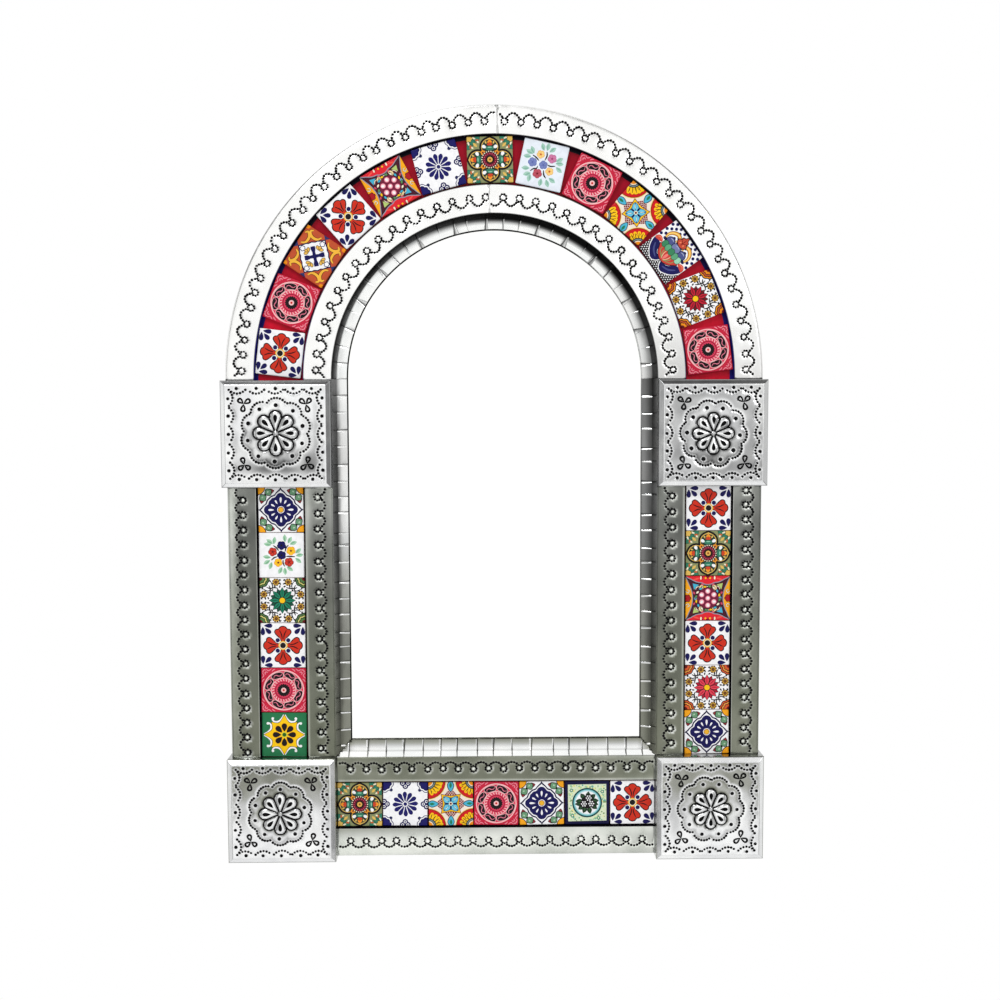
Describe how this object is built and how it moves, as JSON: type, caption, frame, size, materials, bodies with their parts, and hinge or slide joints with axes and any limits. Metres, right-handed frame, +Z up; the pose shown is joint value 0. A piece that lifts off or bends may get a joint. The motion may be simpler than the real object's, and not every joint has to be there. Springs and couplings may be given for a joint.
{
  "type": "tin wall mirror",
  "caption": "Arched wall mirror in a punched tinplate frame, with glazed tiles let into its channel, square corner blocks and a crimped lip round the glass.",
  "frame": {"origin": "on the wall plane, midway between the bars of the two hang rings", "axes": "+X to the viewer's right, +Z up, and the front faces -Y, so the wall is the plane Y = 0"},
  "size_m": [0.5928, 0.0316, 0.8254],
  "materials": {
    "tinplate": "bright tinplate, hand punched and lightly brushed",
    "tray_paint": "crimson enamel on tinplate",
    "tile_glaze": "hand painted, glossy glaze",
    "mirror_glass": "silvered float glass",
    "backing_board": "tempered hardboard",
    "wire": "galvanised steel wire",
    "solder": "dull tin-lead solder"
  },
  "bodies": {
    "frame": {"arch_outer_band_left": "tinplate", "arch_inner_band_left": "tinplate", "arch_tile_tray_left": "tray_paint", "leg_channel_left": "tinplate", "upper_block_left": "tinplate", "lower_block_left": "tinplate", "crimped_lip_leg_left": "tinplate", "hanger_strap_left": "tinplate", "arch_outer_band_right": "tinplate", "arch_inner_band_right": "tinplate", "arch_tile_tray_right": "tray_paint", "leg_channel_right": "tinplate", "upper_block_right": "tinplate", "lower_block_right": "tinplate", "crimped_lip_leg_right": "tinplate", "hanger_strap_right": "tinplate", "bottom_rail_channel": "tinplate", "crimped_lip_arch": "tinplate", "crimped_lip_bottom": "tinplate", "mirror_glass": "mirror_glass", "backing_board": "backing_board", "retaining_tabs": "tinplate", "solder_beads": "solder", "arch_tile_01": "tile_glaze", "arch_tile_02": "tile_glaze", "arch_tile_03": "tile_glaze", "arch_tile_04": "tile_glaze", "arch_tile_05": "tile_glaze", "arch_tile_06": "tile_glaze", "arch_tile_07": "tile_glaze", "arch_tile_08": "tile_glaze", "arch_tile_09": "tile_glaze", "arch_tile_10": "tile_glaze", "arch_tile_11": "tile_glaze", "arch_tile_12": "tile_glaze", "arch_tile_13": "tile_glaze", "leg_tile_left_01": "tile_glaze", "leg_tile_left_02": "tile_glaze", "leg_tile_left_03": "tile_glaze", "leg_tile_left_04": "tile_glaze", "leg_tile_left_05": "tile_glaze", "leg_tile_left_06": "tile_glaze", "leg_tile_right_01": "tile_glaze", "leg_tile_right_02": "tile_glaze", "leg_tile_right_03": "tile_glaze", "leg_tile_right_04": "tile_glaze", "leg_tile_right_05": "tile_glaze", "leg_tile_right_06": "tile_glaze", "rail_tile_01": "tile_glaze", "rail_tile_02": "tile_glaze", "rail_tile_03": "tile_glaze", "rail_tile_04": "tile_glaze", "rail_tile_05": "tile_glaze", "rail_tile_06": "tile_glaze", "rail_tile_07": "tile_glaze"},
    "hang_ring_left": {"hang_ring_left": "wire"},
    "hang_ring_right": {"hang_ring_right": "wire"}
  },
  "joints": [
    {"name": "hang_ring_left_swing", "type": "hinge", "parent": "frame", "child": "hang_ring_left", "pos_m": [-0.1445, -0.00745, 0], "axis": [1, 0, 0], "range_deg": [0, 180]},
    {"name": "hang_ring_right_swing", "type": "hinge", "parent": "frame", "child": "hang_ring_right", "pos_m": [0.1445, -0.00745, 0], "axis": [1, 0, 0], "range_deg": [0, 180]}
  ]
}
